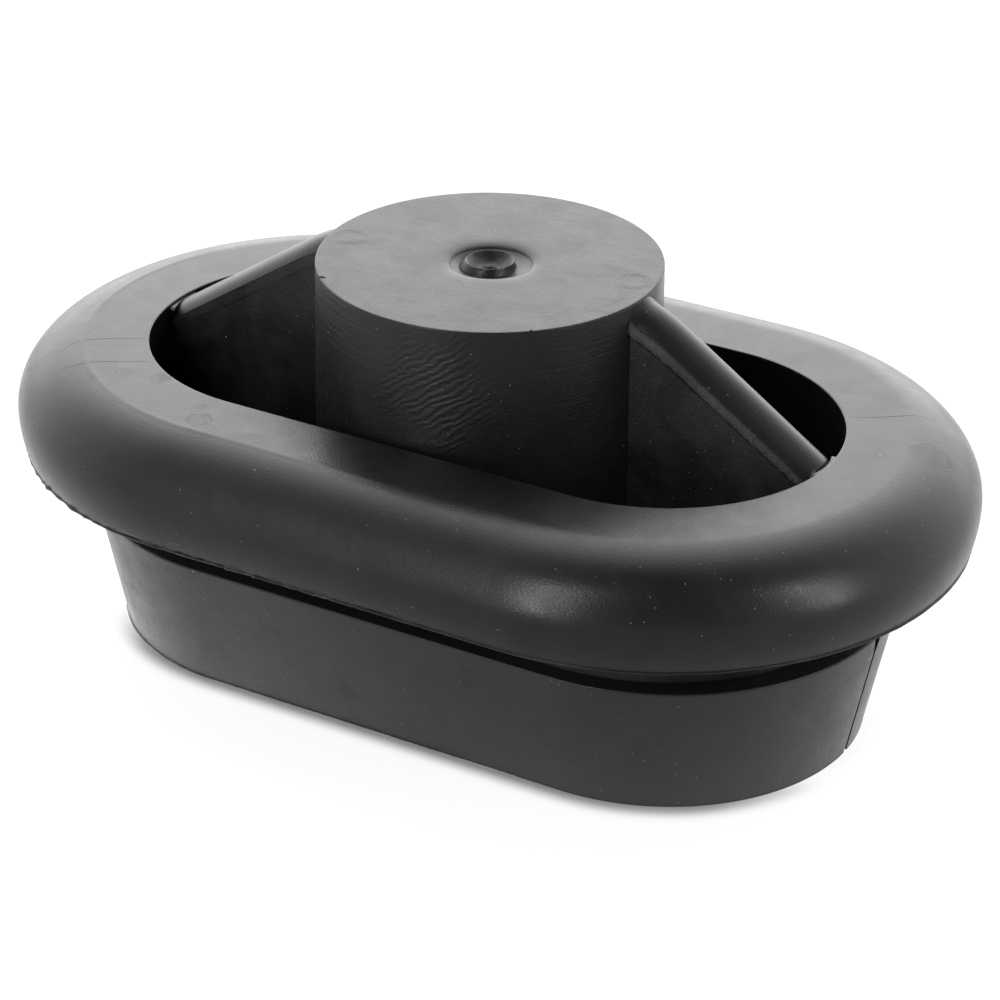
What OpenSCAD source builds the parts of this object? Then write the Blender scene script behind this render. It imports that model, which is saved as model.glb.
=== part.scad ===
// Oval rubber plug that snaps into an oval cut-out in a panel.
// A rounded flange rests on top of the panel, the groove below it holds the panel's edge,
// and the tapered skirt leads the plug into the cut-out. The open pocket inside the flange
// holds a round boss, braced to the pocket's two ends by sloping ribs with beaded crests.
//
// The real plug is one moulding. Here it is divided where one feature ends and the next
// begins, and the regions meet face to face. Millimetres, +Z up. X runs along the oval's
// long axis, and the origin is the centre of the base.

/* [Flange] */
// Length of the flange, which is the length of the whole plug
flange_l = 120; // [116:1:124]
// Width of the flange
flange_w = 75.3; // [73:0.1:78]
// Height of the flange's flat top above the base
flange_top = 36.4; // [35:0.1:38]
// Height of the flange's underside, where it rests on the panel
flange_seat = 24.4; // [22:0.1:26]
// Height at which the flange is widest
flange_belly = 28.8; // [28:0.1:31]
// Width of the rounding from the flat top to the widest line
flange_round = 9; // [6:0.1:11]
// How far the flange's lower edge is drawn in from the widest line
flange_tuck = 0.7; // [0.2:0.1:1.5]

/* [Groove] */
// Length of the wall behind the groove
neck_l = 97.4; // [95:0.1:99]
// Width of the wall behind the groove
neck_w = 51; // [49:0.1:53]

/* [Skirt] */
// Height of the skirt's upper edge, which is the groove's lower side
skirt_top = 16.8; // [13:0.1:18]
// Length of the skirt at its upper edge
skirt_l = 103.3; // [101:0.1:106]
// Width of the skirt at its upper edge
skirt_w = 55.5; // [54:0.1:58]
// How far the skirt's face draws in from its upper edge down to the base
skirt_taper = 3.35; // [1:0.05:3.6]

/* [Pocket] */
// Length of the pocket
pocket_l = 88; // [86:0.1:89]
// Width of the pocket
pocket_w = 42.8; // [42.6:0.1:43.6]
// Thickness of the web that closes the pocket at the base
floor_t = 4; // [2:0.1:8]

/* [Boss] */
// Diameter of the boss at its top
boss_d = 40; // [36:0.1:40.4]
// Height of the boss's top above the base
boss_top = 51.4; // [48:0.1:54]
// Draft angle of the boss's side
boss_draft = 0.9; // [0.3:0.1:1]
// Diameter of the dimple round the gate
dimple_d = 9.7; // [9:0.1:12]
// Depth of the dimple
dimple_depth = 0.8; // [0.5:0.1:1.5]
// Diameter of the nub that the gate leaves
nub_d = 6.2; // [5:0.1:6.8]

/* [Ribs] */
// Thickness of a rib's web
rib_t = 6; // [4:0.1:7]
// Radius of the rounded bead that caps a rib over its full thickness
bead_r = 3.9; // [3.6:0.1:6]
// How far from the boss's side the sloping crest reaches the height of the boss's top
crest_gap = 0.8; // [0.2:0.1:2]
// Height of the crest's lower end above the base
crest_end = 36.8; // [36.4:0.1:37.4]
// Length of the level ledge between the bead's lower end and the pocket's end wall
ledge_l = 0.8; // [0.6:0.1:2]
// How far the ledge lies below the flange's top
ledge_drop = 0.3; // [0:0.1:1]

/* [Hidden] */
$fn = 96;

LEFT = -1;
RIGHT = 1;
FRONT = -1;
BACK = 1;

// Steps in a quarter round of an outline
ROUND_STEPS = 10;
// How far a cutting solid runs past the faces that it cuts
PAST = 1;
// How far the dimple's wall slopes in from its mouth to its floor
DIMPLE_SLOPE = 1.2;
// How far the nub's top stays below the boss's top, and how deep its dish is
NUB_DROP = 0.1;
NUB_DISH = 0.6;
// Width of the rim round the nub's dish
NUB_LIP = 0.35;

rubber = [0.13, 0.13, 0.135];
rubber_light = [0.2, 0.2, 0.205];
rubber_dark = [0.08, 0.08, 0.085];

boss_r = boss_d / 2;
boss_h = boss_top - floor_t;
boss_foot_r = boss_r + boss_h * tan(boss_draft);
pocket_end = pocket_l / 2;

// The crest runs down from the height of the boss's top to the ledge
crest_run = pocket_end - ledge_l - boss_r - crest_gap;
crest_fall = boss_top - crest_end;
crest_angle = atan(crest_fall / crest_run);
crest_at_boss = boss_top + crest_gap * tan(crest_angle);
// Half of the arc that the bead's section spans, and the bead's height square to the slope
bead_half_arc = asin(rib_t / 2 / bead_r);
bead_h = bead_r * (1 - cos(bead_half_arc));
shoulder_at_boss = crest_at_boss - bead_h / cos(crest_angle);

// Points of a part of an ellipse about (r0, z0), from angle a0 to a1
function elliptic(r0, z0, semi_r, semi_z, a0, a1) = [
    for (i = [0 : ROUND_STEPS])
        let (a = a0 + (a1 - a0) * i / ROUND_STEPS)
            [r0 + semi_r * cos(a), z0 + semi_z * sin(a)]
];

// An oval solid: the outline of half its section, from its middle plane outwards, is carried
// round two ends of the given spacing
module oval(outline, spacing) {
    for (side = [LEFT, RIGHT])
        translate([side * spacing / 2, 0, 0])
            rotate_extrude()
                polygon(outline);
    for (side = [FRONT, BACK])
        on_face(side)
            translate([-spacing / 2, 0, 0])
                rotate([90, 0, 90])
                    linear_extrude(spacing)
                        polygon(outline);
}

// A shape drawn at the back, or its mirror image at the front
module on_face(side) {
    if (side == BACK)
        children();
    else
        mirror([0, 1, 0])
            children();
}

// An oval prism from height z0 to height z1
module oval_prism(l, w, z0, z1) {
    oval([[0, z0], [w / 2, z0], [w / 2, z1], [0, z1]], l - w);
}

// The space inside the pocket's walls
module pocket_space() {
    oval_prism(pocket_l, pocket_w, -PAST, boss_top + PAST);
}

// The boss with nothing taken off, as it is cut out of its neighbours
module boss_body() {
    translate([0, 0, floor_t])
        cylinder(h = boss_h, r1 = boss_foot_r, r2 = boss_r);
}

// Everything on one side of the plane y = 0
module half_space(side) {
    reach = flange_l;
    translate([-reach, side == BACK ? 0 : -reach, -PAST])
        cube([2 * reach, reach, boss_top + 2 * PAST]);
}

module rim_flange() {
    half_w = flange_w / 2;
    tuck_h = flange_belly - flange_seat;
    // The lower stretch is an arc that starts upright at the widest line
    lower = [
        for (i = [ROUND_STEPS : -1 : 1])
            let (t = i / ROUND_STEPS)
                [half_w - flange_tuck * t * t, flange_belly - tuck_h * t]
    ];
    upper = elliptic(half_w - flange_round, flange_belly, flange_round,
                     flange_top - flange_belly, 0, 90);
    color(rubber)
        difference() {
            oval(concat([[0, flange_seat]], lower, upper, [[0, flange_top]]), flange_l - flange_w);
            pocket_space();
        }
}

module groove_neck() {
    color(rubber_dark)
        difference() {
            oval_prism(neck_l, neck_w, skirt_top, flange_seat);
            pocket_space();
        }
}

// Half of the skirt; the two halves meet at the mould's parting plane, y = 0
module skirt_half(side) {
    upper_r = skirt_w / 2;
    color(rubber)
        intersection() {
            difference() {
                oval([[0, 0], [upper_r - skirt_taper, 0], [upper_r, skirt_top], [0, skirt_top]],
                     skirt_l - skirt_w);
                pocket_space();
            }
            half_space(side);
        }
}

module skirt_front() {
    skirt_half(FRONT);
}

module skirt_back() {
    skirt_half(BACK);
}

module pocket_floor() {
    color(rubber_dark)
        oval_prism(pocket_l, pocket_w, 0, floor_t);
}

module centre_boss() {
    mouth_r = dimple_d / 2;
    color(rubber_light)
        difference() {
            boss_body();
            translate([0, 0, boss_top - dimple_depth])
                cylinder(h = dimple_depth, r1 = mouth_r - DIMPLE_SLOPE, r2 = mouth_r);
        }
}

module gate_nub() {
    nub_h = dimple_depth - NUB_DROP;
    dish_r = nub_d / 2 - NUB_LIP;
    color(rubber_dark)
        translate([0, 0, boss_top - dimple_depth])
            difference() {
                cylinder(h = nub_h, d = nub_d);
                translate([0, 0, nub_h - NUB_DISH])
                    cylinder(h = NUB_DISH, r1 = dish_r / 2, r2 = dish_r);
            }
}

// Side view of the web of the right-hand rib, carried past the boss and the pocket's end
module web_outline() {
    slope = tan(crest_angle);
    inner_x = boss_r - PAST;
    outer_x = pocket_end + PAST;
    polygon([
        [inner_x, floor_t],
        [outer_x, floor_t],
        [outer_x, shoulder_at_boss - (outer_x - boss_r) * slope],
        [inner_x, shoulder_at_boss + (boss_r - inner_x) * slope]
    ]);
}

// What lies between the boss and the pocket's wall
module trim_to_pocket() {
    difference() {
        intersection() {
            children();
            pocket_space();
        }
        boss_body();
    }
}

// The left or the right copy of a shape drawn on the right
module on_side(side) {
    if (side == RIGHT)
        children();
    else
        mirror([1, 0, 0])
            children();
}

module rib_web(side) {
    color(rubber)
        on_side(side)
            trim_to_pocket()
                translate([0, rib_t / 2, 0])
                    rotate([90, 0, 0])
                        linear_extrude(rib_t)
                            web_outline();
}

// Section of the bead, standing on the web: x is up the section, y is across it
module bead_section() {
    arc = elliptic(0, bead_h - bead_r, bead_r, bead_r, 90 - bead_half_arc, 90 + bead_half_arc);
    polygon([for (p = arc) [p[1], p[0]]]);
}

module rib_bead(side) {
    ledge_x = pocket_end - ledge_l;
    color(rubber_light)
        on_side(side)
            trim_to_pocket() {
                difference() {
                    union() {
                        intersection() {
                            translate([boss_r, 0, shoulder_at_boss])
                                rotate([0, 90 + crest_angle, 0])
                                    translate([0, 0, -2 * PAST])
                                        linear_extrude(crest_run / cos(crest_angle) + 5 * PAST)
                                            mirror([1, 0, 0])
                                                bead_section();
                            translate([0, -rib_t / 2, 0])
                                cube([ledge_x, rib_t, boss_top]);
                        }
                        translate([ledge_x, -rib_t / 2, floor_t])
                            cube([ledge_l + PAST, rib_t, flange_top - ledge_drop - floor_t]);
                    }
                    translate([0, rib_t / 2, 0])
                        rotate([90, 0, 0])
                            linear_extrude(rib_t)
                                web_outline();
                }
            }
}

module rib_web_left() {
    rib_web(LEFT);
}

module rib_web_right() {
    rib_web(RIGHT);
}

module rib_bead_left() {
    rib_bead(LEFT);
}

module rib_bead_right() {
    rib_bead(RIGHT);
}

rim_flange();
groove_neck();
skirt_front();
skirt_back();
pocket_floor();
centre_boss();
gate_nub();
rib_web_left();
rib_web_right();
rib_bead_left();
rib_bead_right();
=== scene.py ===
"""Looks of the oval rubber plug: smooth meshes and procedural rubber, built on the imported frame."""

import math

import bmesh
import bpy
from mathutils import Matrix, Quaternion, Vector, noise


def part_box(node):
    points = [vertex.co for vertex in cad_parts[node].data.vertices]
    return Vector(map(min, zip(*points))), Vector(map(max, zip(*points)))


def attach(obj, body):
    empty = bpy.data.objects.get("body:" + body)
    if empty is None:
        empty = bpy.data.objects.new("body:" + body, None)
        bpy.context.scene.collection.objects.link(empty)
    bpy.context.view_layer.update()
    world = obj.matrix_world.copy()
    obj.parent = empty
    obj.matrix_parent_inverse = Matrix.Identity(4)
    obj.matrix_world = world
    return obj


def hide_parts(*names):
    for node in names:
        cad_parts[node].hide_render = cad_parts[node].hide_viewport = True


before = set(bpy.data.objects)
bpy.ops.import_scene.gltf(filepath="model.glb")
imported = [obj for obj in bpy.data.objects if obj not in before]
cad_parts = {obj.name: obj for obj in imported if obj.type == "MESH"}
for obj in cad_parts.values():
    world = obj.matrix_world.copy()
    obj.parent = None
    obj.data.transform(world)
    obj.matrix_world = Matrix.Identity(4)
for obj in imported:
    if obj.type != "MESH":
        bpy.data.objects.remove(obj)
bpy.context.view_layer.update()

MM = 0.001
UP = Vector((0, 0, 1))


# ---------------------------------------------------------------- sizes, in millimetres

def node_box(node):
    """Lowest and highest corner of a CAD node, in millimetres."""
    low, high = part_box(node)
    return low / MM, high / MM


flange_low, flange_high = node_box("rim_flange")
neck_high = node_box("groove_neck")[1]
skirt_high = node_box("skirt_back")[1]
floor_high = node_box("pocket_floor")[1]
boss_high = node_box("centre_boss")[1]
nub_high = node_box("gate_nub")[1]
web_high = node_box("rib_web_right")[1]
bead_high = node_box("rib_bead_right")[1]

# Each oval has a radius at its ends (R) and half the distance between the ends' centres (HALF).
# The flange's side is an elliptic round above its belly, and tucks in a little below it.
FLANGE_R = flange_high.y
FLANGE_HALF = flange_high.x - FLANGE_R
FLANGE_SEAT = flange_low.z
FLANGE_TOP = flange_high.z
FLANGE_BELLY = FLANGE_SEAT + 4.4
FLANGE_ROUND = 9.0
FLANGE_TUCK = 0.7

# The wall behind the groove
NECK_R = neck_high.y
NECK_HALF = neck_high.x - NECK_R

# The skirt, which is narrower by its taper all round at the foot
SKIRT_R = skirt_high.y
SKIRT_HALF = skirt_high.x - SKIRT_R
SKIRT_TOP = skirt_high.z
SKIRT_TAPER = 3.35
FOOT_R = SKIRT_R - SKIRT_TAPER

# The pocket, and the top of the web that closes it
POCKET_R = floor_high.y
POCKET_HALF = floor_high.x - POCKET_R
POCKET_END = floor_high.x
FLOOR_TOP = floor_high.z

# The boss, wider at its foot than at its top
BOSS_TOP = boss_high.z
BOSS_FOOT_R = boss_high.x
BOSS_DRAFT = math.radians(0.62)
BOSS_R = BOSS_FOOT_R - (BOSS_TOP - FLOOR_TOP) * math.tan(BOSS_DRAFT)

# The gate's dimple in the boss's top, and the nub in it, whose foot sits a little to the left
DIMPLE_R = 4.85
NUB_R = nub_high.x
STUB_SHIFT = 0.24

# A rib: half its thickness, and its crest, which falls from the boss to the nose.
# A low ledge lies between the nose and the pocket's wall.
WEB_HALF = web_high.y
CREST_GAP = 0.8
CREST_SINK = 0.35
NOSE_X = bead_high.x - 0.8
NOSE_TOP = FLANGE_TOP + 0.4
CREST_SLOPE = (BOSS_TOP - NOSE_TOP) / (NOSE_X - BOSS_R - CREST_GAP)
LEDGE_TOP = FLANGE_TOP - 0.3
BEAD_R = 3.9
BEAD_HALF_ARC = math.asin(bead_high.y / BEAD_R)

# Where the camera stands, as seen from the object
CAMERA_AZIMUTH = math.radians(29.81)
CAMERA_ELEVATION = math.radians(27.75)
TOWARDS_CAMERA = Vector((math.sin(CAMERA_AZIMUTH), -math.cos(CAMERA_AZIMUTH), 0))
RIGHTWARDS = Vector((math.cos(CAMERA_AZIMUTH), math.sin(CAMERA_AZIMUTH), 0))


# ---------------------------------------------------------------- mesh helpers

def make_piece(name, mesh_bm, nodes, sharp=38.0):
    """A finished piece from a bmesh in millimetres; it replaces CAD nodes and rides on the root."""
    bmesh.ops.remove_doubles(mesh_bm, verts=mesh_bm.verts, dist=1e-4)
    bmesh.ops.dissolve_degenerate(mesh_bm, edges=mesh_bm.edges, dist=1e-4)
    bmesh.ops.recalc_face_normals(mesh_bm, faces=mesh_bm.faces)
    for vertex in mesh_bm.verts:
        vertex.co *= MM
    for face in mesh_bm.faces:
        face.smooth = True
    mesh = bpy.data.meshes.new(name)
    mesh_bm.to_mesh(mesh)
    mesh_bm.free()
    mesh.set_sharp_from_angle(angle=math.radians(sharp))
    piece = bpy.data.objects.new(name, mesh)
    bpy.context.scene.collection.objects.link(piece)
    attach(piece, "root")
    if nodes:
        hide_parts(*nodes)
    return piece


def soften(corners, steps=4, guard=0.12):
    """Points of a closed outline whose corners are rounded.

    A corner is (radius from the oval's core line, height, half spacing of the ends, rounding).
    Guard points beside each rounding keep the flat stretches flat when shaded.
    """
    points = []
    count = len(corners)
    for i, (r, z, half, rounding) in enumerate(corners):
        if rounding <= 0:
            points.append((r, z, half))
            continue
        here = Vector((r, z))
        before = Vector(corners[i - 1][:2]) - here
        after = Vector(corners[(i + 1) % count][:2]) - here
        a, b = before.normalized(), after.normalized()
        corner_angle = a.angle(b)
        reach = rounding / math.tan(corner_angle / 2)
        centre = here + (a + b).normalized() * (rounding / math.sin(corner_angle / 2))
        start, end = here + a * reach, here + b * reach
        if before.length > reach + guard * 2:
            points.append((*(start + a * guard), half))
        first, last = start - centre, end - centre
        sweep = first.angle(last)
        for k in range(steps + 1):
            t = k / steps
            spoke = (first * math.sin((1 - t) * sweep) + last * math.sin(t * sweep)) / math.sin(sweep)
            points.append((*(centre + spoke), half))
        if after.length > reach + guard * 2:
            points.append((*(end + b * guard), half))
    return points


def oval_stations(first_deg, last_deg, arc_steps=96, straight_steps=40):
    """Places round the oval, as (end, cosine, sine): end runs from 1 at +X to -1 at -X.

    The turns are whole quarters, and the straight stretches lie after the first and the third.
    """
    stations = []
    for quarter in range(int(first_deg // 90), int(last_deg // 90)):
        end = 1 if quarter % 4 in (0, 3) else -1
        steps = arc_steps // 2
        for k in range(steps):
            angle = math.radians(90 * (quarter + k / steps))
            stations.append((end, math.cos(angle), math.sin(angle)))
        if quarter % 2 == 0:
            side = 1 if quarter % 4 == 0 else -1
            for k in range(straight_steps):
                stations.append((side * (1 - 2 * k / straight_steps), 0.0, float(side)))
    if last_deg - first_deg < 360:
        angle = math.radians(last_deg)
        stations.append((1 if last_deg % 360 == 0 else -1, math.cos(angle), math.sin(angle)))
    return stations


def sweep_oval(outline, stations, closed_ring=True, shift=None):
    """Carries a closed outline round the oval.

    shift(index, place, cosine, sine) may move a vertex: index is its number in the outline.
    """
    bm = bmesh.new()
    rings = []
    for end, cosine, sine in stations:
        ring = []
        for index, (r, z, half) in enumerate(outline):
            place = Vector((end * half + r * cosine, r * sine, z))
            if shift:
                place = shift(index, place, cosine, sine)
            ring.append(bm.verts.new(place))
        rings.append(ring)
    if closed_ring:
        join_loops(bm, rings + rings[:1])
    else:
        join_rings(bm, rings)
    return bm


def lathe(outline, steps=256, shift=None):
    """Turns an open outline (r, z), which starts and ends on the axis, about Z. shift may move a vertex."""
    bm = bmesh.new()
    rings = []
    for k in range(steps):
        angle = 2 * math.pi * k / steps
        ring = []
        for r, z in outline:
            place = Vector((r * math.cos(angle), r * math.sin(angle), z))
            ring.append(bm.verts.new(shift(place) if shift and r > 0 else place))
        rings.append(ring)
    for one, two in zip(rings, rings[1:] + rings[:1]):
        for i in range(len(outline) - 1):
            bm.faces.new((one[i], two[i], two[i + 1], one[i + 1]))
    return bm


def join_loops(bm, rings):
    """Skins a row of closed rings of vertices."""
    count = len(rings[0])
    for one, two in zip(rings, rings[1:]):
        for i in range(count):
            j = (i + 1) % count
            bm.faces.new((one[i], two[i], two[j], one[j]))


def join_rings(bm, rings):
    """Skins a row of closed rings and caps both ends."""
    join_loops(bm, rings)
    bm.faces.new(rings[0])
    bm.faces.new(list(reversed(rings[-1])))


def ellipse_points(r0, z0, semi_r, semi_z, first_deg, last_deg, steps):
    """Points on an ellipse in the (r, z) plane, both ends included."""
    points = []
    for k in range(steps + 1):
        angle = math.radians(first_deg + (last_deg - first_deg) * k / steps)
        points.append((r0 + semi_r * math.cos(angle), z0 + semi_z * math.sin(angle)))
    return points


def ramp(value, start, end):
    """Rises from 0 at start to 1 at end, and stays level on either side."""
    return min(1.0, max(0.0, (value - start) / (end - start)))


def wander(place, scale, seed=0.0):
    """Smooth noise from -1 to 1 at a place; scale is the size of its bumps in millimetres."""
    return noise.noise(Vector((place.x / scale + seed, place.y / scale - seed, place.z / scale)))


# ---------------------------------------------------------------- the pieces

def flange_marks(place, on_flash, on_crown):
    """Moves a point of the flange: ragged flash below, a faint witness ridge above at the front left."""
    left_front = max(0.0, -(place.x * 0.8 + place.y) / FLANGE_R - 0.55)
    if on_flash:
        out = Vector((place.x * 0.4, place.y, 0)).normalized()
        ragged = 0.02 + 0.26 * min(1, left_front * 2)
        rough = wander(place, 2.2) * 0.05 + wander(place, 0.7, 5.0) * ragged
        return place + out * rough + UP * (wander(place, 1.5, 9.0) * 0.03)
    if on_crown:
        ridge = 0.05 * min(1, left_front * 3)
        return place + UP * (ridge * (0.75 + 0.5 * wander(place, 6.0)))
    return place


def build_flange():
    """The rounded flange, with its moulding flash round the lower edge and a witness ridge on top."""
    half = FLANGE_HALF
    tuck_h = FLANGE_BELLY - FLANGE_SEAT
    edge_r = FLANGE_R - FLANGE_TUCK
    under = [(POCKET_R, FLANGE_SEAT, POCKET_HALF, 0), (NECK_R + 1.0, FLANGE_SEAT, half, 0),
             (edge_r - 0.3, FLANGE_SEAT, half, 0)]
    flash = [(edge_r + out, FLANGE_SEAT + up, half, 0)
             for out, up in ((-0.10, -0.02), (0.08, 0.0), (0.11, 0.10), (-0.02, 0.22))]
    side = [(FLANGE_R - FLANGE_TUCK * t * t, FLANGE_BELLY - tuck_h * t * 0.93, half, 0)
            for t in (1 - k / 12 for k in range(1, 13))]
    crown = [(r, z, half, 0) for r, z in ellipse_points(FLANGE_R - FLANGE_ROUND, FLANGE_BELLY, FLANGE_ROUND,
                                                       FLANGE_TOP - FLANGE_BELLY, 0, 82, 30)[1:]]
    ridge_r = crown[-1][0] - 0.35
    ridge = [(ridge_r, FLANGE_TOP - 0.035, half, 0)]
    top = [(ridge_r - 0.3, FLANGE_TOP - 0.012, half, 0), (ridge_r - 0.9, FLANGE_TOP, half, 0),
           (ridge_r - 3.0, FLANGE_TOP, half, 0), (POCKET_R, FLANGE_TOP, POCKET_HALF, 0.16)]
    outline = soften(under + flash + side + crown + ridge + top)
    flash_from = len(under)
    ridge_at = len(under + flash + side + crown)

    def marked(index, place, cosine, sine):
        return flange_marks(place, flash_from <= index < flash_from + len(flash), index == ridge_at)

    bm = sweep_oval(outline, oval_stations(0, 360, 144, 90), True, marked)
    return make_piece("flange", bm, ["rim_flange"])


def build_neck():
    """The wall behind the panel groove."""
    outline = [
        (POCKET_R, SKIRT_TOP, POCKET_HALF), (NECK_R, SKIRT_TOP, NECK_HALF),
        (NECK_R, FLANGE_SEAT, NECK_HALF), (POCKET_R, FLANGE_SEAT, POCKET_HALF),
    ]
    bm = sweep_oval(outline, oval_stations(0, 360))
    return make_piece("neck", bm, ["groove_neck"])


def seam_gap(z, side):
    """How far one half of the skirt keeps off the parting plane: wide at the top, a little at the foot."""
    all_along, notch, spread = 0.24, 0.9 if side < 0 else 0.4, 0.22
    at_top = notch * math.exp(-((SKIRT_TOP - z) / 1.5) ** 2)
    at_foot = spread * math.exp(-z / 1.1)
    return all_along + at_top + at_foot


def build_skirt(name, node, first_deg):
    """Half of the tapered skirt, from one parting line to the other."""
    side = 1 if first_deg == 0 else -1
    slit_depth, slit_reach = 2.6, 0.12
    outline = soften([
        (POCKET_R, 0.0, POCKET_HALF, 0),
        (FOOT_R - 0.25, 0.0, SKIRT_HALF, 0),
        (FOOT_R + 0.02, 0.0, SKIRT_HALF, 0),
        (FOOT_R + 0.05, 0.04, SKIRT_HALF, 0),
        (FOOT_R + 0.04, 0.13, SKIRT_HALF, 0),
        *[(FOOT_R + SKIRT_TAPER * t, SKIRT_TOP * t, SKIRT_HALF, 0)
          for t in (0.03, 0.06, 0.12, 0.3, 0.5, 0.7, 0.84, 0.9, 0.94, 0.97)],
        (SKIRT_R, SKIRT_TOP, SKIRT_HALF, 0.22),
        (NECK_R - 0.4, SKIRT_TOP, NECK_HALF, 0),
        (POCKET_R, SKIRT_TOP, POCKET_HALF, 0),
    ])

    def part(index, place, cosine, sine):
        """Draws the wall back from the parting plane, near its outer face only."""
        depth = abs(place.x) - (SKIRT_HALF + FOOT_R + SKIRT_TAPER * place.z / SKIRT_TOP - slit_depth)
        if depth > 0 and abs(sine) < slit_reach:
            apart = seam_gap(place.z, side) * (1 - abs(sine) / slit_reach) * min(1, depth / slit_depth)
            place = place + Vector((0, side * apart, 0))
        return place

    stations = oval_stations(first_deg, first_deg + 180, 144, 90)
    bm = sweep_oval(outline, stations, False, part)
    return make_piece(name, bm, [node])


def build_foot_flash():
    """A thread of worn flash along the foot's edge, at the front and the left; its pale colour is a painted
    highlight.
    """
    thread = [(-0.2, 0.01), (0.20, 0.01), (0.24, 0.04), (0.21, 0.08), (-0.2, 0.085)]
    outline = [(FOOT_R + out, z, SKIRT_HALF) for out, z in thread]

    def worn_and_highlight(index, place, cosine, sine):
        """Sinks the thread into the skirt towards the right and the ends, where it is worn off."""
        keep = ramp(place.x, 26, 4) * ramp(place.y, -6, -12)
        sink = 0.30 * (1 - keep) + 0.05 * wander(place, 1.1)
        return place - Vector((cosine, sine, 0)) * sink

    bm = sweep_oval(outline, oval_stations(180, 360, 144, 90), False, worn_and_highlight)
    return make_piece("foot_flash", bm, [])


def build_pocket_web():
    """The web that closes the pocket at the base."""
    outline = [
        (0.0, 0.0, POCKET_HALF), (POCKET_R, 0.0, POCKET_HALF),
        (POCKET_R, FLOOR_TOP, POCKET_HALF), (0.0, FLOOR_TOP, POCKET_HALF),
    ]
    bm = sweep_oval(outline, oval_stations(0, 360, 96, 24))
    return make_piece("pocket_web", bm, ["pocket_floor"])


def build_boss():
    """The drafted boss, with the gate's dimple in its top and a well under the gate's nub."""
    well_r, well_z = NUB_R - 0.3, BOSS_TOP - 1.6
    ring_r, ring_z = NUB_R + 0.25, BOSS_TOP - 0.86
    outline = [(0.0, well_z), (well_r, well_z), (well_r, ring_z), (ring_r, ring_z)]
    outline += [(ring_r + 0.1, ring_z + 0.03), (ring_r + 0.6, ring_z + 0.17)]
    outline += [(DIMPLE_R - out, BOSS_TOP - down) for out, down in ((0.2, 0.53), (0.12, 0.49), (0.05, 0.37))]
    steps, funnel = 26, 5.2
    for k in range(steps + 1):
        past = funnel * (k / steps) ** 2
        sunk = 0.30 * math.exp(-past / 0.55) + 0.03 * math.exp(-past / 2.2)
        outline.append((DIMPLE_R + past, BOSS_TOP - sunk))
    outline += [(r, BOSS_TOP) for r in (12.0, 15.0, 18.0, BOSS_R - 0.35)]
    edge = 0.10
    for k in range(5):
        angle = math.pi / 2 * (1 - k / 4)
        outline.append((BOSS_R - edge + edge * math.cos(angle), BOSS_TOP - edge + edge * math.sin(angle)))
    for t in (0.01, 0.2, 0.4, 0.6, 0.8, 1.0):
        outline.append((BOSS_R + (BOSS_FOOT_R - BOSS_R) * t, BOSS_TOP + (FLOOR_TOP - BOSS_TOP) * t))
    outline.append((0.0, FLOOR_TOP))

    def off_centre(place):
        """Shifts the mouth of the dimple to the front right, and the ring inside it to the left."""
        far, fade, blend = 9.0, 4.0, 0.8
        r = math.hypot(place.x, place.y)
        if place.z < BOSS_TOP - 1.0 or r > far:
            return place
        along = place.x * TOWARDS_CAMERA.x + place.y * TOWARDS_CAMERA.y
        outer = ramp(r, ring_r, ring_r + blend) * ramp(r, far, far - fade)
        inner = ramp(r, ring_r + blend, ring_r)
        place = place + TOWARDS_CAMERA * outer * (0.26 - along * 0.05) + RIGHTWARDS * outer * 0.15
        return place - RIGHTWARDS * inner * STUB_SHIFT

    return make_piece("boss", lathe(outline, 256, off_centre), ["centre_boss"])


def build_nub():
    """The torn nub of the gate: a thin lip round a deep bowl with a rough scar at its bottom."""
    lip_r, base_r = NUB_R - 0.28, NUB_R + 0.25
    bowl_r, bowl_depth, lip_z = lip_r - 0.1, 1.25, BOSS_TOP - 0.02
    outline = [(bowl_r * k / 20, lip_z - bowl_depth * (1 - (k / 20) ** 2.5)) for k in range(20)]
    outline += [(bowl_r, lip_z - 0.05), (lip_r - 0.04, lip_z), (lip_r + 0.02, lip_z - 0.03)]
    outline += [(lip_r + 0.1, lip_z - 0.2), (base_r - 0.1, lip_z - 0.72), (base_r, lip_z - 0.85)]
    outline += [(base_r, lip_z - 0.9), (0.0, lip_z - 1.5)]

    def torn(place):
        """Shifts the nub's foot, waves its lip and roughens the scar in its bowl."""
        r = math.hypot(place.x, place.y)
        if place.z < lip_z - bowl_depth - 0.05 or r > lip_r + 0.01:
            foot = ramp(lip_z - place.z, 0.05, 0.55)
            return place - RIGHTWARDS * STUB_SHIFT * foot + UP * (wander(place, 0.7, 2.0) * 0.03)
        if r > bowl_r * 0.9:
            return place + UP * (wander(place, 0.8, 2.0) * 0.05 - 0.03)
        from_scar = (place - TOWARDS_CAMERA * 0.1).xy.length
        rough = 0.15 + wander(place, 0.42) * 0.5 + wander(place, 0.2, 3.0) * 0.4
        lift = rough * math.exp(-from_scar ** 2 / 0.5) + wander(place, 0.9, 7.0) * 0.05
        return place + UP * lift

    return make_piece("gate_stub", lathe(outline, 160, torn), ["gate_nub"])


def crest_height(x):
    """Height of the crest: a straight fall, which sags near the boss and turns up at its side."""
    sag_from, sag_run, sag_depth = 25, 4, 0.5
    fillet_reach, fillet_rise = 0.9, 0.25
    line = BOSS_TOP - CREST_SINK - (x - BOSS_R - CREST_GAP) * CREST_SLOPE
    sag = sag_depth * max(0.0, (sag_from - x) / sag_run) ** 2
    fillet = fillet_rise * max(0.0, 1 - (x - BOSS_R) / fillet_reach) ** 2
    return min(line - sag + fillet, BOSS_TOP - 0.03)


def bead_drop(y):
    """How far the bead's rounded top lies below the crest, at a distance y from the rib's middle."""
    return (BEAD_R - math.sqrt(BEAD_R ** 2 - y ** 2)) * math.hypot(1, CREST_SLOPE)


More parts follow.
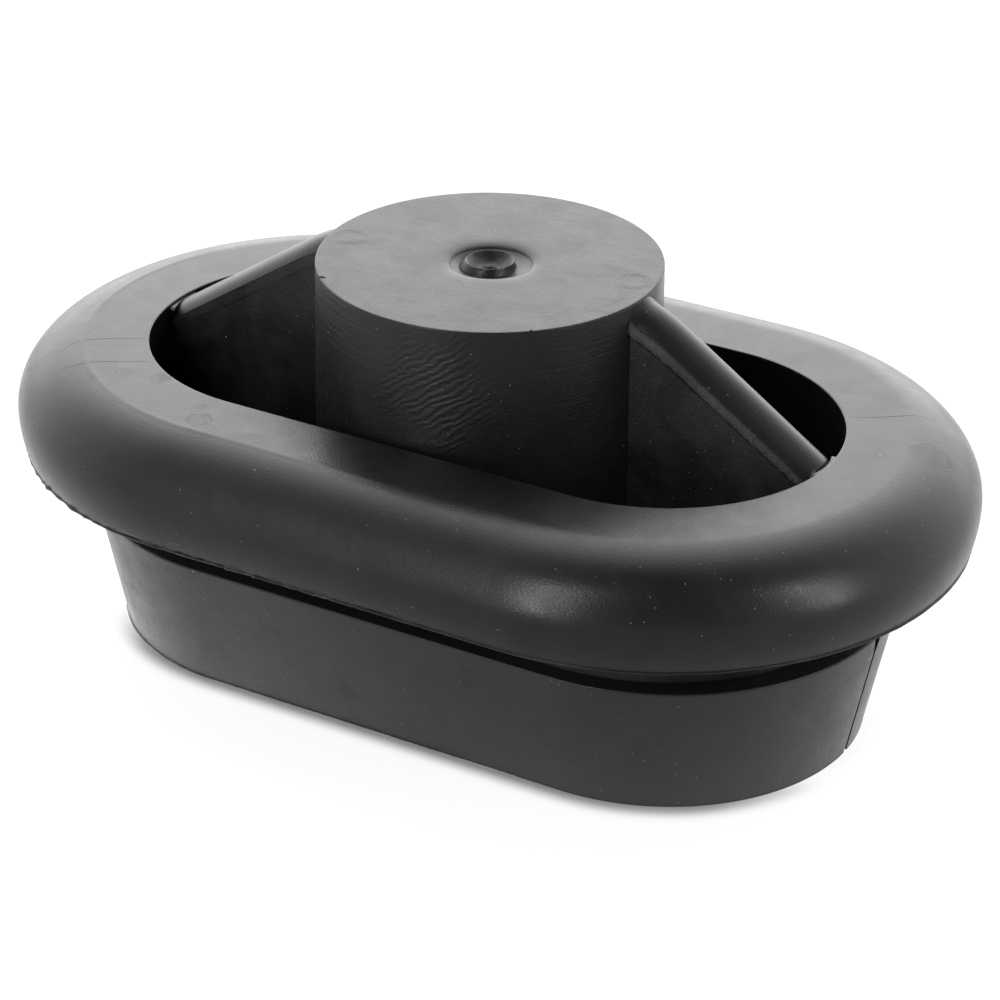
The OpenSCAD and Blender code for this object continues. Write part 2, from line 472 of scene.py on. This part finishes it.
def build_web(name, node, side):
    """A rib's web, with a rough raised band along its upper edges."""
    steps = 150
    x_from, x_to = BOSS_R - 0.6, POCKET_END + 0.05
    # The band as (how far out, how far down), much fainter on the left rib. Its last row keeps the
    # plain web below it flat when shaded.
    bulge = 1.0 if side > 0 else 0.12
    band = [(0.0, -0.02), (0.0, 0.14), (0.02, 0.28), (0.10, 0.5), (0.20, 0.8), (0.28, 1.1), (0.28, 1.25),
            (0.15, 1.45), (0.0, 1.6), (0.0, 1.75)]
    bm = bmesh.new()
    columns = []
    for k in range(steps + 1):
        x = x_from + (x_to - x_from) * k / steps
        top = min(crest_height(x) - bead_drop(WEB_HALF), BOSS_TOP - 1.3)
        deep = 1.0 + 0.25 * (x_to - x) / (x_to - x_from)
        half = [(WEB_HALF + out * bulge, top - down * deep) for out, down in band]
        half += [(WEB_HALF, top - 9), (WEB_HALF, FLOOR_TOP)]
        column = []
        for y, z in [(-y, z) for y, z in half] + half[::-1]:
            place = Vector((side * x, y, z))
            if abs(y) > WEB_HALF + 0.1:
                place.y += wander(place, 0.45) * 0.10 + wander(place, 1.6, 4.0) * 0.05
            column.append(bm.verts.new(place))
        columns.append(column)
    join_rings(bm, columns)
    return make_piece(name, bm, [node])


def bead_rings():
    """Rings along the bead, as (x, how a height follows from x and y)."""
    def crown(sink):
        return lambda x, y: crest_height(x) - bead_drop(y) - sink

    def ledge(sink):
        flat_half, fall = 2.4, 0.6
        return lambda x, y: LEDGE_TOP - fall * max(0.0, abs(y) - flat_half) ** 2 - sink

    def crease(x, y):
        return min(crown(0.3)(x, y), ledge(0.25)(x, y))

    steps = 70
    start = BOSS_R - 0.3
    rings = [(start + (NOSE_X - start) * k / steps, crown(0.0)) for k in range(steps + 1)]
    rings += [(NOSE_X + 0.12, crown(0.03)), (NOSE_X + 0.22, crown(0.12)), (NOSE_X + 0.29, crown(0.3))]
    rings += [(NOSE_X + 0.33, crease), (NOSE_X + 0.39, crease)]
    rings += [(NOSE_X + 0.45, ledge(0.06)), (NOSE_X + 0.52, ledge(0.0)), (POCKET_END + 0.35, ledge(0.0))]
    return rings


def build_bead(name, node, side):
    """The rounded bead along a rib's crest, with a round nose, a crease and a ledge at the pocket's end."""
    bm = bmesh.new()
    arc = [BEAD_R * math.sin(BEAD_HALF_ARC * (k / 12 - 1)) for k in range(25)]
    rings = []
    for x, height in bead_rings():
        roundness = 0.07 * ramp(x, NOSE_X - 3, NOSE_X)
        ring = []
        for y in arc:
            at = x - roundness * y * y
            ring.append(bm.verts.new((side * at, y, height(at, y))))
        low = min(height(x, arc[0]), LEDGE_TOP) if x > NOSE_X else height(x, arc[0])
        ring += [bm.verts.new((side * x, y, low - 1.0)) for y in (arc[-1] - 0.3, arc[0] + 0.3)]
        rings.append(ring)
    join_rings(bm, rings)
    return make_piece(name, bm, [node])


# Where the mould's pins met the boss's top: x, y, and how clear the mark is
PIN_MARKS = [(-17.2, -2.9, 1.0), (17.15, 3.1, 1.0), (17.4, -4.5, 0.5)]


def build_pin_marks():
    """Faint double rings that the mould's pins leave on the boss's top."""
    bm = bmesh.new()
    steps = 72
    for x, y, strength in PIN_MARKS:
        for radius in (2.08, 1.62):
            height = 0.016 * strength
            profile = [(radius + across, up) for across, up in
                       ((-0.09, -0.02), (-0.03, height), (0.03, height), (0.09, -0.02))]
            rings = []
            for k in range(steps + 1):
                angle = 2 * math.pi * (k % steps) / steps
                rings.append([bm.verts.new((x + r * math.cos(angle), y + r * math.sin(angle), BOSS_TOP + z))
                              for r, z in profile])
            join_loops(bm, rings)
    return make_piece("pin_marks", bm, [])


def build_burrs():
    """Two scraps of flash on the edge of the boss's top, as (turn in degrees, length, width)."""
    bm = bmesh.new()
    for turn, length, width in ((-134.0, 0.85, 0.15), (-46.8, 0.25, 0.14)):
        angle = math.radians(turn)
        out = Vector((math.cos(angle), math.sin(angle), 0))
        start = out * (BOSS_R - 0.15) + UP * (BOSS_TOP - 0.03)
        along = (RIGHTWARDS - out * 0.6).normalized()
        across = Vector((-along.y, along.x, 0))
        rings = []
        for k in range(7):
            t = k / 6
            size = width * math.sin(math.pi * (0.08 + 0.84 * t)) ** 0.7
            middle = start + along * length * (t - 0.3) + across * 0.08 * math.sin(5 * t)
            rings.append([bm.verts.new(middle + across * size * math.cos(a) + UP * size * math.sin(a))
                          for a in (math.pi * j / 4 for j in range(8))])
        join_rings(bm, rings)
    return make_piece("burrs", bm, [])


# Where the rubber's flow fronts met in the mould: lines on the flange's top as (x, y) places
KNIT_LINES = [
    [(-40.2, -12.0), (-43.1, -13.8), (-45.3, -15.2), (-47.4, -17.3), (-48.1, -19.7)],
    [(-36.6, -17.3), (-39.2, -19.0), (-41.5, -20.3), (-43.5, -21.9), (-45.1, -23.4)],
    [(40.8, 12.0), (42.4, 13.0), (44.0, 13.9), (45.8, 15.3), (47.3, 16.5), (50.9, 18.1)],
]


def flange_height(x, y):
    """Height of the flange's top at a place."""
    reach = math.hypot(max(abs(x) - FLANGE_HALF, 0), y)
    past = max(0.0, (reach - (FLANGE_R - FLANGE_ROUND)) / FLANGE_ROUND)
    return FLANGE_BELLY + (FLANGE_TOP - FLANGE_BELLY) * math.sqrt(1 - past * past)


def build_knit_lines():
    """Thin raised lines on the flange, faint at both ends."""
    bm = bmesh.new()
    for line in KNIT_LINES:
        corners = [Vector(corner) for corner in line]
        path = [one.lerp(two, k / 6) for one, two in zip(corners, corners[1:]) for k in range(6)]
        path.append(corners[-1])
        rings = []
        for k, place in enumerate(path):
            ahead = path[min(k + 1, len(path) - 1)] - path[max(k - 1, 0)]
            aside = Vector((-ahead.y, ahead.x)).normalized()
            place = place + aside * 0.12 * noise.noise(Vector((place.x, place.y, 0)))
            height = 0.022 * math.sin(math.pi * min(1, (k + 0.5) / len(path))) ** 0.5
            ring = []
            for across, up in ((-0.09, -0.03), (-0.02, height), (0.02, height), (0.09, -0.03)):
                at = place + aside * across
                ring.append(bm.verts.new((at.x, at.y, flange_height(at.x, at.y) + up)))
            rings.append(ring)
        join_rings(bm, rings)
    return make_piece("knit_lines", bm, [])


# ---------------------------------------------------------------- materials

# Marks on the flange's top: place, radius, then how strong the outline and the dull patch inside are
WATER_MARKS = [
    (-22.8, -26.9, 1.45, 1.0, 0.5), (-20.8, -29.0, 1.65, 0.6, 0.2), (-24.5, -24.3, 0.9, 0.3, 0.6),
    (-32.7, -20.2, 1.3, 0.5, 0.8), (-37.3, -21.2, 1.2, 0.3, 0.4), (-40.2, -24.7, 1.2, 0.2, 0.5),
    (52.6, 8.9, 2.4, 0.8, 0.6), (-9.5, -31.5, 1.0, 0.3, 0.5),
]


class Nodes:
    """Short ways to add nodes to one material."""

    def __init__(self, name):
        self.material = bpy.data.materials.new(name)
        self.material.use_nodes = True
        self.tree = self.material.node_tree
        self.shader = self.tree.nodes["Principled BSDF"]
        coordinates = self.tree.nodes.new("ShaderNodeTexCoord")
        self.place = coordinates.outputs["Object"]

    def add(self, kind, **settings):
        node = self.tree.nodes.new(kind)
        for setting, value in settings.items():
            setattr(node, setting, value)
        return node

    def feed(self, socket, value):
        """Sets a socket to a number, or links it to another node's output."""
        if isinstance(value, (int, float, tuple)):
            socket.default_value = value
        else:
            self.tree.links.new(value, socket)

    def math(self, operation, a, b=0.0):
        node = self.add("ShaderNodeMath", operation=operation)
        self.feed(node.inputs[0], a)
        self.feed(node.inputs[1], b)
        return node.outputs[0]

    def hypot(self, a, b):
        return self.math("SQRT", self.math("ADD", self.math("MULTIPLY", a, a), self.math("MULTIPLY", b, b)))

    def scaled(self, x, y, z):
        """The place, with each axis scaled: a small factor draws a pattern out along its axis."""
        node = self.add("ShaderNodeMapping")
        node.inputs["Scale"].default_value = (x, y, z)
        self.feed(node.inputs["Vector"], self.place)
        return node.outputs["Vector"]

    def noise(self, size, detail=2.0, rough=0.5, distortion=0.0, vector=None):
        """Noise from 0 to 1 whose blotches are about size millimetres across."""
        node = self.add("ShaderNodeTexNoise")
        node.inputs["Scale"].default_value = 1 / (size * MM)
        node.inputs["Detail"].default_value = detail
        node.inputs["Roughness"].default_value = rough
        node.inputs["Distortion"].default_value = distortion
        self.feed(node.inputs["Vector"], vector or self.place)
        return node.outputs["Fac"]

    def remap(self, value, from_low, from_high, to_low, to_high):
        node = self.add("ShaderNodeMapRange", interpolation_type="SMOOTHSTEP")
        for socket, number in zip(node.inputs[1:5], (from_low, from_high, to_low, to_high)):
            socket.default_value = number
        self.feed(node.inputs[0], value)
        return node.outputs[0]

    def distance(self, x, y, wobble):
        """Distance in plan from a place, in metres, made uneven by a wobble signal."""
        shift = self.add("ShaderNodeVectorMath", operation="SUBTRACT")
        self.feed(shift.inputs[0], self.place)
        shift.inputs[1].default_value = (x * MM, y * MM, 0)
        flat = self.add("ShaderNodeVectorMath", operation="MULTIPLY")
        self.feed(flat.inputs[0], shift.outputs[0])
        flat.inputs[1].default_value = (1, 1, 0)
        length = self.add("ShaderNodeVectorMath", operation="LENGTH")
        self.feed(length.inputs[0], flat.outputs[0])
        return self.math("ADD", length.outputs["Value"], wobble)

    def specks(self, size, share, dot):
        """Dust: 1 inside small dots, in a share of the cells of the given size."""
        node = self.add("ShaderNodeTexVoronoi")
        node.inputs["Scale"].default_value = 1 / (size * MM)
        self.feed(node.inputs["Vector"], self.place)
        near = self.remap(node.outputs["Distance"], dot / size * 0.5, dot / size, 1.0, 0.0)
        split = self.add("ShaderNodeSeparateColor")
        self.feed(split.inputs[0], node.outputs["Color"])
        chosen = self.math("LESS_THAN", split.outputs[0], share)
        return self.math("MULTIPLY", near, chosen)

    def colour(self, fac, under, over):
        """Mixes two colours, each a triple or another node's output."""
        node = self.add("ShaderNodeMix", data_type="RGBA")
        self.feed(node.inputs["Factor"], fac)
        for name, colour in (("A", under), ("B", over)):
            socket = [each for each in node.inputs if each.name == name and each.type == "RGBA"][0]
            self.feed(socket, (*colour, 1) if isinstance(colour, tuple) else colour)
        return [each for each in node.outputs if each.type == "RGBA"][0]

    def bump(self, height, depth, normal=None):
        """Bump whose full height is depth millimetres."""
        node = self.add("ShaderNodeBump")
        node.inputs["Distance"].default_value = depth * MM
        self.feed(node.inputs["Height"], height)
        if normal:
            self.feed(node.inputs["Normal"], normal)
        return node.outputs["Normal"]


def dusty(n, base, dust_share):
    """Adds pale dust, thicker in some patches, to a base colour."""
    patches = n.remap(n.noise(14.0, 2.0, 0.5), 0.45, 0.65, dust_share * 0.12, dust_share)
    fine = n.specks(1.0, patches, 0.10)
    coarse = n.specks(4.0, 0.5 * dust_share, 0.13)
    base = n.colour(fine, base, (0.16, 0.16, 0.16))
    return n.colour(coarse, base, (0.30, 0.30, 0.30))


def rubber(name, shade, rough, grain, swell, dust_share, extra=None):
    """Black moulded rubber: faint bloom, uneven sheen, fine grain and a little dust.

    shade is the base colour's low and high value and rough the roughness's; grain and swell are the
    depths of the fine and the broad unevenness, in millimetres.
    extra(n, sheen, normal) may add what only one region has, and returns the new sheen and normal.
    """
    n = Nodes(name)
    low, high = shade
    bloom = n.remap(n.noise(7.0, 5.0, 0.6, 0.5), 0.3, 0.75, 0.0, 1.0)
    base = n.colour(bloom, (low, low, low), (high, high, high))
    n.feed(n.shader.inputs["Base Color"], dusty(n, base, dust_share))
    sheen = n.remap(n.noise(4.5, 6.0, 0.62, 0.7), 0.3, 0.72, *rough)
    normal = n.bump(n.noise(0.34, 3.0, 0.65), grain)
    normal = n.bump(n.noise(2.6, 2.0, 0.5), swell, normal)
    if extra:
        sheen, normal = extra(n, sheen, normal)
    n.feed(n.shader.inputs["Roughness"], sheen)
    n.feed(n.shader.inputs["Normal"], normal)
    n.shader.inputs["IOR"].default_value = 1.5
    return n.material


def water_marks(n, sheen, normal):
    """Dried drops on the flange: a raised outline round a duller patch."""
    wobble = n.math("MULTIPLY", n.math("SUBTRACT", n.noise(1.3, 3.0, 0.6), 0.5), 0.9 * MM)
    outlines, patches = 0.0, 0.0
    for x, y, radius, outline, patch in WATER_MARKS:
        away = n.distance(x, y, wobble)
        from_edge = n.math("ABSOLUTE", n.math("SUBTRACT", away, radius * MM))
        outlines = n.math("MAXIMUM", outlines, n.remap(from_edge, 0.0, 0.16 * MM, outline, 0.0))
        patches = n.math("MAXIMUM", patches, n.remap(away, (radius - 0.2) * MM, radius * MM, patch, 0.0))
    mottle = n.remap(n.noise(0.8, 3.0, 0.6), 0.35, 0.65, 0.4, 1.0)
    dull = n.math("MULTIPLY", n.math("MULTIPLY", patches, mottle), 0.14)
    sheen = n.math("ADD", sheen, n.math("ADD", dull, n.math("MULTIPLY", outlines, 0.12)))
    return sheen, n.bump(outlines, 0.012, normal)


# The middle of the rippled patch on the boss's side
RIPPLES_AT = (4.2, -19.8, 44.0)


def turning_lines(n, sheen, normal):
    """Lines that the turned mould leaves round the boss, a rippled patch on its side, and smears."""
    lines = n.noise(0.3, 2.0, 0.6, 0.0, n.scaled(0.03, 0.03, 1.0))
    normal = n.bump(lines, 0.028, normal)
    ripples = n.add("ShaderNodeTexWave", wave_type="BANDS", bands_direction="DIAGONAL")
    n.feed(ripples.inputs["Vector"], n.scaled(1.0, 0.3, -1.5))
    for setting, value in (("Scale", 430.0), ("Distortion", 7.0), ("Detail", 3.0), ("Detail Scale", 0.8)):
        ripples.inputs[setting].default_value = value
    away = n.add("ShaderNodeVectorMath", operation="DISTANCE")
    n.feed(away.inputs[0], n.place)
    away.inputs[1].default_value = [part * MM for part in RIPPLES_AT]
    ragged = n.math("ADD", away.outputs["Value"], n.remap(n.noise(4.0, 3.0, 0.6), 0.2, 0.8, -3 * MM, 3 * MM))
    where = n.remap(ragged, 2 * MM, 9 * MM, 1.0, 0.0)
    normal = n.bump(n.math("MULTIPLY", ripples.outputs["Fac"], where), 0.040, normal)
    smear = n.noise(1.6, 5.0, 0.7, 0.6, n.scaled(0.35, 1.0, 1.0))
    return n.math("ADD", sheen, n.remap(smear, 0.42, 0.72, -0.01, 0.03)), normal


# Dull stains on the skirt's front, all as far forward as STAIN_DEPTH: x, z, radius, and how much rougher
STAINS = [(12.8, 13.0, 2.2, 0.10), (-4.1, 4.7, 1.6, 0.08), (24.5, 10.3, 1.3, 0.04)]
STAIN_DEPTH = 25.8


def drag_marks(n, sheen, normal):
    """Faint mottle where the skirt dragged on the mould, and dull stains on its front."""
    streaks = n.noise(0.9, 4.0, 0.65, 0.8, n.scaled(0.5, 1.0, 1.0))
    for x, z, radius, strength in STAINS:
        spot = n.add("ShaderNodeVectorMath", operation="DISTANCE")
        n.feed(spot.inputs[0], n.place)
        spot.inputs[1].default_value = (x * MM, -STAIN_DEPTH * MM, z * MM)
        wobble = n.remap(n.noise(1.4, 3.0, 0.6), 0.2, 0.8, -0.6 * MM, 0.6 * MM)
        away = n.math("ADD", spot.outputs["Value"], wobble)
        sheen = n.math("ADD", sheen, n.remap(away, (radius - 0.5) * MM, radius * MM, strength, 0.0))
    return n.math("ADD", sheen, n.remap(streaks, 0.45, 0.75, 0.0, 0.06)), n.bump(streaks, 0.02, normal)


# ---------------------------------------------------------------- stage, light and camera

def make_sheet(name, corners, material):
    """A flat four-cornered sheet of the studio, in metres."""
    bm = bmesh.new()
    bm.faces.new([bm.verts.new(corner) for corner in corners])
    mesh = bpy.data.meshes.new(name)
    bm.to_mesh(mesh)
    bm.free()
    mesh.materials.append(material)
    sheet = bpy.data.objects.new(name, mesh)
    bpy.context.scene.collection.objects.link(sheet)
    return sheet


def floor_material():
    """White and glowing, as if lit from below on a light table, with a painted contact shadow that darkens
    its glow where the object touches it.
    """
    n = Nodes("floor_white")
    n.feed(n.shader.inputs["Base Color"], (0.3, 0.3, 0.3, 1))
    n.feed(n.shader.inputs["Roughness"], 0.9)
    n.feed(n.shader.inputs["Specular IOR Level"], 0.0)
    n.feed(n.shader.inputs["Emission Color"], (1, 1, 1, 1))
    # Ambient occlusion near the object darkens the glow: this is the painted contact shadow
    near = n.add("ShaderNodeAmbientOcclusion", samples=8)
    near.inputs["Distance"].default_value = 3.5 * MM
    open_air = n.remap(near.outputs["AO"], 0.45, 0.95, 0.0, 1.0)
    split = n.add("ShaderNodeSeparateXYZ")
    n.feed(split.inputs[0], n.place)
    x, y, _ = split.outputs
    # The painted contact shadow is dark in front of the object, and fades out to its right, its left and
    # behind
    dark, full = 0.12, 0.86
    by_right = n.remap(x, 38 * MM, 54 * MM, dark, 0.80)
    by_left = n.remap(x, -45 * MM, -34 * MM, full, dark)
    by_back = n.remap(y, -17 * MM, -6 * MM, dark, 0.84)
    darkest = n.math("MAXIMUM", n.math("MAXIMUM", by_right, by_left), by_back)
    lit = n.math("MULTIPLY", open_air, n.math("SUBTRACT", full, darkest))
    n.feed(n.shader.inputs["Emission Strength"], n.math("ADD", darkest, lit))
    return n.material


# Glow of the reflector by how far a place lies to the front (1) or the back (-1): a start, a slope
# and a square term, first for the whole sheet
WIDE_GLOW, WIDE_FRONT, WIDE_SQUARE = 0.92, -0.62, 0.06
# Then the extra glow at the object's foot, which only the front weakens, and how far it reaches
FOOT_GLOW, FOOT_FRONT, FOOT_SQUARE = 1.18, -1.45, 0.71
FOOT_REACH = 15.0


def reflector_material():
    """What the object's lower parts mirror: bright at its foot and behind, dim in front."""
    n = Nodes("reflector")
    n.feed(n.shader.inputs["Base Color"], (0, 0, 0, 1))
    n.feed(n.shader.inputs["Specular IOR Level"], 0.0)
    n.feed(n.shader.inputs["Emission Color"], (1, 1, 1, 1))
    split = n.add("ShaderNodeSeparateXYZ")
    n.feed(split.inputs[0], n.place)
    x, y, _ = split.outputs
    past_end = n.math("MAXIMUM", n.math("SUBTRACT", n.math("ABSOLUTE", x), SKIRT_HALF * MM), 0.0)
    from_foot = n.math("MAXIMUM", n.math("SUBTRACT", n.hypot(past_end, y), FOOT_R * MM), 0.0)
    fade = n.math("EXPONENT", n.math("MULTIPLY", from_foot, -1 / (FOOT_REACH * MM)))
    dot = n.math("ADD", n.math("MULTIPLY", x, TOWARDS_CAMERA.x), n.math("MULTIPLY", y, TOWARDS_CAMERA.y))
    front = n.math("DIVIDE", dot, n.math("MAXIMUM", n.hypot(x, y), MM))

    def glow(start, slope, square, way):
        """Strength as start + slope * way + square * way * way."""
        rise = n.math("MULTIPLY", n.math("MULTIPLY", way, way), square)
        return n.math("ADD", n.math("ADD", n.math("MULTIPLY", way, slope), rise), start)

    wide = glow(WIDE_GLOW, WIDE_FRONT, WIDE_SQUARE, front)
    foot = glow(FOOT_GLOW, FOOT_FRONT, FOOT_SQUARE, n.math("MAXIMUM", front, 0.0))
    n.feed(n.shader.inputs["Emission Strength"], n.math("ADD", wide, n.math("MULTIPLY", foot, fade)))
    return n.material


def build_floor():
    """The floor that the camera sees, and the reflector that only reflections see."""
    reach, drop = 3.0, 0.02 * MM
    square = ((-reach, -reach), (reach, -reach), (reach, reach), (-reach, reach))
    floor = make_sheet("floor", [(x, y, -drop) for x, y in square], floor_material())
    floor.visible_glossy = False
    reflector = make_sheet("reflector", [(x, y, -2 * drop) for x, y in square], reflector_material())
    reflector.visible_camera = False
    reflector.visible_diffuse = False
    reflector.visible_shadow = False


def build_world():
    """Studio surroundings: bright behind the object, dim in front, a soft dark ceiling."""
    world = bpy.data.worlds.new("studio")
    bpy.context.scene.world = world
    world.use_nodes = True
    tree = world.node_tree
    nodes, links = tree.nodes, tree.links
    background = nodes["Background"]
    background.inputs["Color"].default_value = (1, 1, 1, 1)

    def join(operation, *values):
        node = nodes.new("ShaderNodeMath")
        node.operation = operation
        for socket, value in zip(node.inputs, values):
            if isinstance(value, (int, float)):
                socket.default_value = value
            else:
                links.new(value, socket)
        return node.outputs[0]

    def curve(value, stops):
        """A smooth curve through the stops, each (value, result)."""
        node = nodes.new("ShaderNodeFloatCurve")
        node.mapping.use_clip = False
        line = node.mapping.curves[0]
        line.points[0].location, line.points[-1].location = stops[0], stops[-1]
        for x, y in stops[1:-1]:
            line.points.new(x, y)
        for point in line.points:
            point.handle_type = "AUTO_CLAMPED"
        node.mapping.update()
        links.new(value, node.inputs["Value"])
        return node.outputs["Value"]

    coordinates = nodes.new("ShaderNodeTexCoord")
    split = nodes.new("ShaderNodeSeparateXYZ")
    links.new(coordinates.outputs["Generated"], split.inputs[0])
    x, y, z = split.outputs
    behind = join("ADD", join("MULTIPLY", x, -TOWARDS_CAMERA.x), join("MULTIPLY", y, -TOWARDS_CAMERA.y))
    level = join("SQRT", join("MAXIMUM", join("SUBTRACT", 1.0, join("MULTIPLY", z, z)), 0.0001))
    turn = join("MULTIPLY_ADD", join("DIVIDE", behind, level), 0.5, 0.5)
    # turn runs from 0 in front to 1 behind, and z from 0 at the horizon to 1 overhead
    by_turn = [(0.0, 0.10), (0.067, 0.26), (0.25, 0.47), (0.5, 0.79), (0.75, 1.35), (0.93, 2.5), (1.0, 3.3)]
    by_height = [(0.0, 1.0), (0.26, 1.05), (0.47, 1.0), (0.68, 0.79), (0.88, 0.57), (1.0, 0.15)]
    around = curve(turn, by_turn)
    height = curve(z, by_height)
    links.new(join("MULTIPLY", around, height), background.inputs["Strength"])


def build_lamp(name, azimuth_deg, elevation_deg, wide_deg, tall_deg, strength):
    """A softbox that lights the object from far off. Azimuth 0 is at -Y and 90 at +X."""
    azimuth, elevation, distance = math.radians(azimuth_deg), math.radians(elevation_deg), 0.7
    way = Vector((math.sin(azimuth) * math.cos(elevation), -math.cos(azimuth) * math.cos(elevation),
                  math.sin(elevation)))
    data = bpy.data.lights.new(name, "AREA")
    data.shape = "RECTANGLE"
    data.size = 2 * distance * math.tan(math.radians(wide_deg / 2))
    data.size_y = 2 * distance * math.tan(math.radians(tall_deg / 2))
    data.energy = strength
    lamp = bpy.data.objects.new(name, data)
    bpy.context.scene.collection.objects.link(lamp)
    lamp.location = way * distance + UP * (FLANGE_TOP * MM)
    lamp.rotation_mode = "QUATERNION"
    lamp.rotation_quaternion = way.to_track_quat("Z", "Y")
    lamp.visible_camera = False


def build_camera():
    """The camera, in front and to the right, a little above."""
    back = TOWARDS_CAMERA * math.cos(CAMERA_ELEVATION) + UP * math.sin(CAMERA_ELEVATION)
    target, distance, roll = Vector((1.26, 0.72, 19.95)) * MM, 0.398, math.radians(0.59)
    data = bpy.data.cameras.new("camera")
    data.sensor_width, data.lens = 36, 119.3
    data.clip_start, data.clip_end = 0.01, 20
    camera = bpy.data.objects.new("camera", data)
    bpy.context.scene.collection.objects.link(camera)
    camera.location = target + back * distance
    camera.rotation_mode = "QUATERNION"
    camera.rotation_quaternion = (-back).to_track_quat("-Z", "Y") @ Quaternion((0, 0, 1), roll)
    bpy.context.scene.camera = camera


# ---------------------------------------------------------------- putting it together

flange = build_flange()
neck = build_neck()
skirt_front = build_skirt("skirt_front_half", "skirt_front", 180)
skirt_back = build_skirt("skirt_back_half", "skirt_back", 0)
pocket_web = build_pocket_web()
boss = build_boss()
stub = build_nub()
hands = (("left", -1), ("right", 1))
webs = [build_web(f"web_{hand}", f"rib_web_{hand}", side) for hand, side in hands]
beads = [build_bead(f"bead_{hand}", f"rib_bead_{hand}", side) for hand, side in hands]
pin_marks = build_pin_marks()
foot_flash = build_foot_flash()
burrs = build_burrs()
knit_lines = build_knit_lines()

satin = rubber("rubber_satin", shade=(0.008, 0.012), rough=(0.27, 0.34), grain=0.022, swell=0.010,
               dust_share=0.7, extra=water_marks)
skin = rubber("rubber_skirt", shade=(0.009, 0.013), rough=(0.36, 0.45), grain=0.045, swell=0.010,
              dust_share=0.35, extra=drag_marks)
top = rubber("rubber_boss", shade=(0.008, 0.012), rough=(0.35, 0.41), grain=0.032, swell=0.004,
             dust_share=0.5, extra=turning_lines)
dull = rubber("rubber_dull", shade=(0.006, 0.030), rough=(0.44, 0.58), grain=0.055, swell=0.012,
              dust_share=0.6)
# The pale base colour of the foot's thread is a painted highlight along the foot's edge
worn_and_highlight = rubber("rubber_painted_highlight", shade=(0.35, 0.6), rough=(0.40, 0.60), grain=0.010, swell=0.010,
              dust_share=0.2)

looks = (
    (satin, (flange, knit_lines, *beads)),
    (skin, (skirt_front, skirt_back)),
    (top, (boss, stub, pin_marks)),
    (worn_and_highlight, (foot_flash,)),
    (dull, (burrs, neck, pocket_web, *webs)),
)
for material, pieces in looks:
    for piece in pieces:
        piece.data.materials.append(material)

build_floor()
build_world()
build_lamp("lamp_left", azimuth_deg=-9.0, elevation_deg=22, wide_deg=7, tall_deg=56, strength=1.9)
build_lamp("lamp_right", azimuth_deg=87, elevation_deg=22, wide_deg=5, tall_deg=42, strength=1.15)
build_camera()
bpy.context.scene.view_settings.view_transform = "Standard"
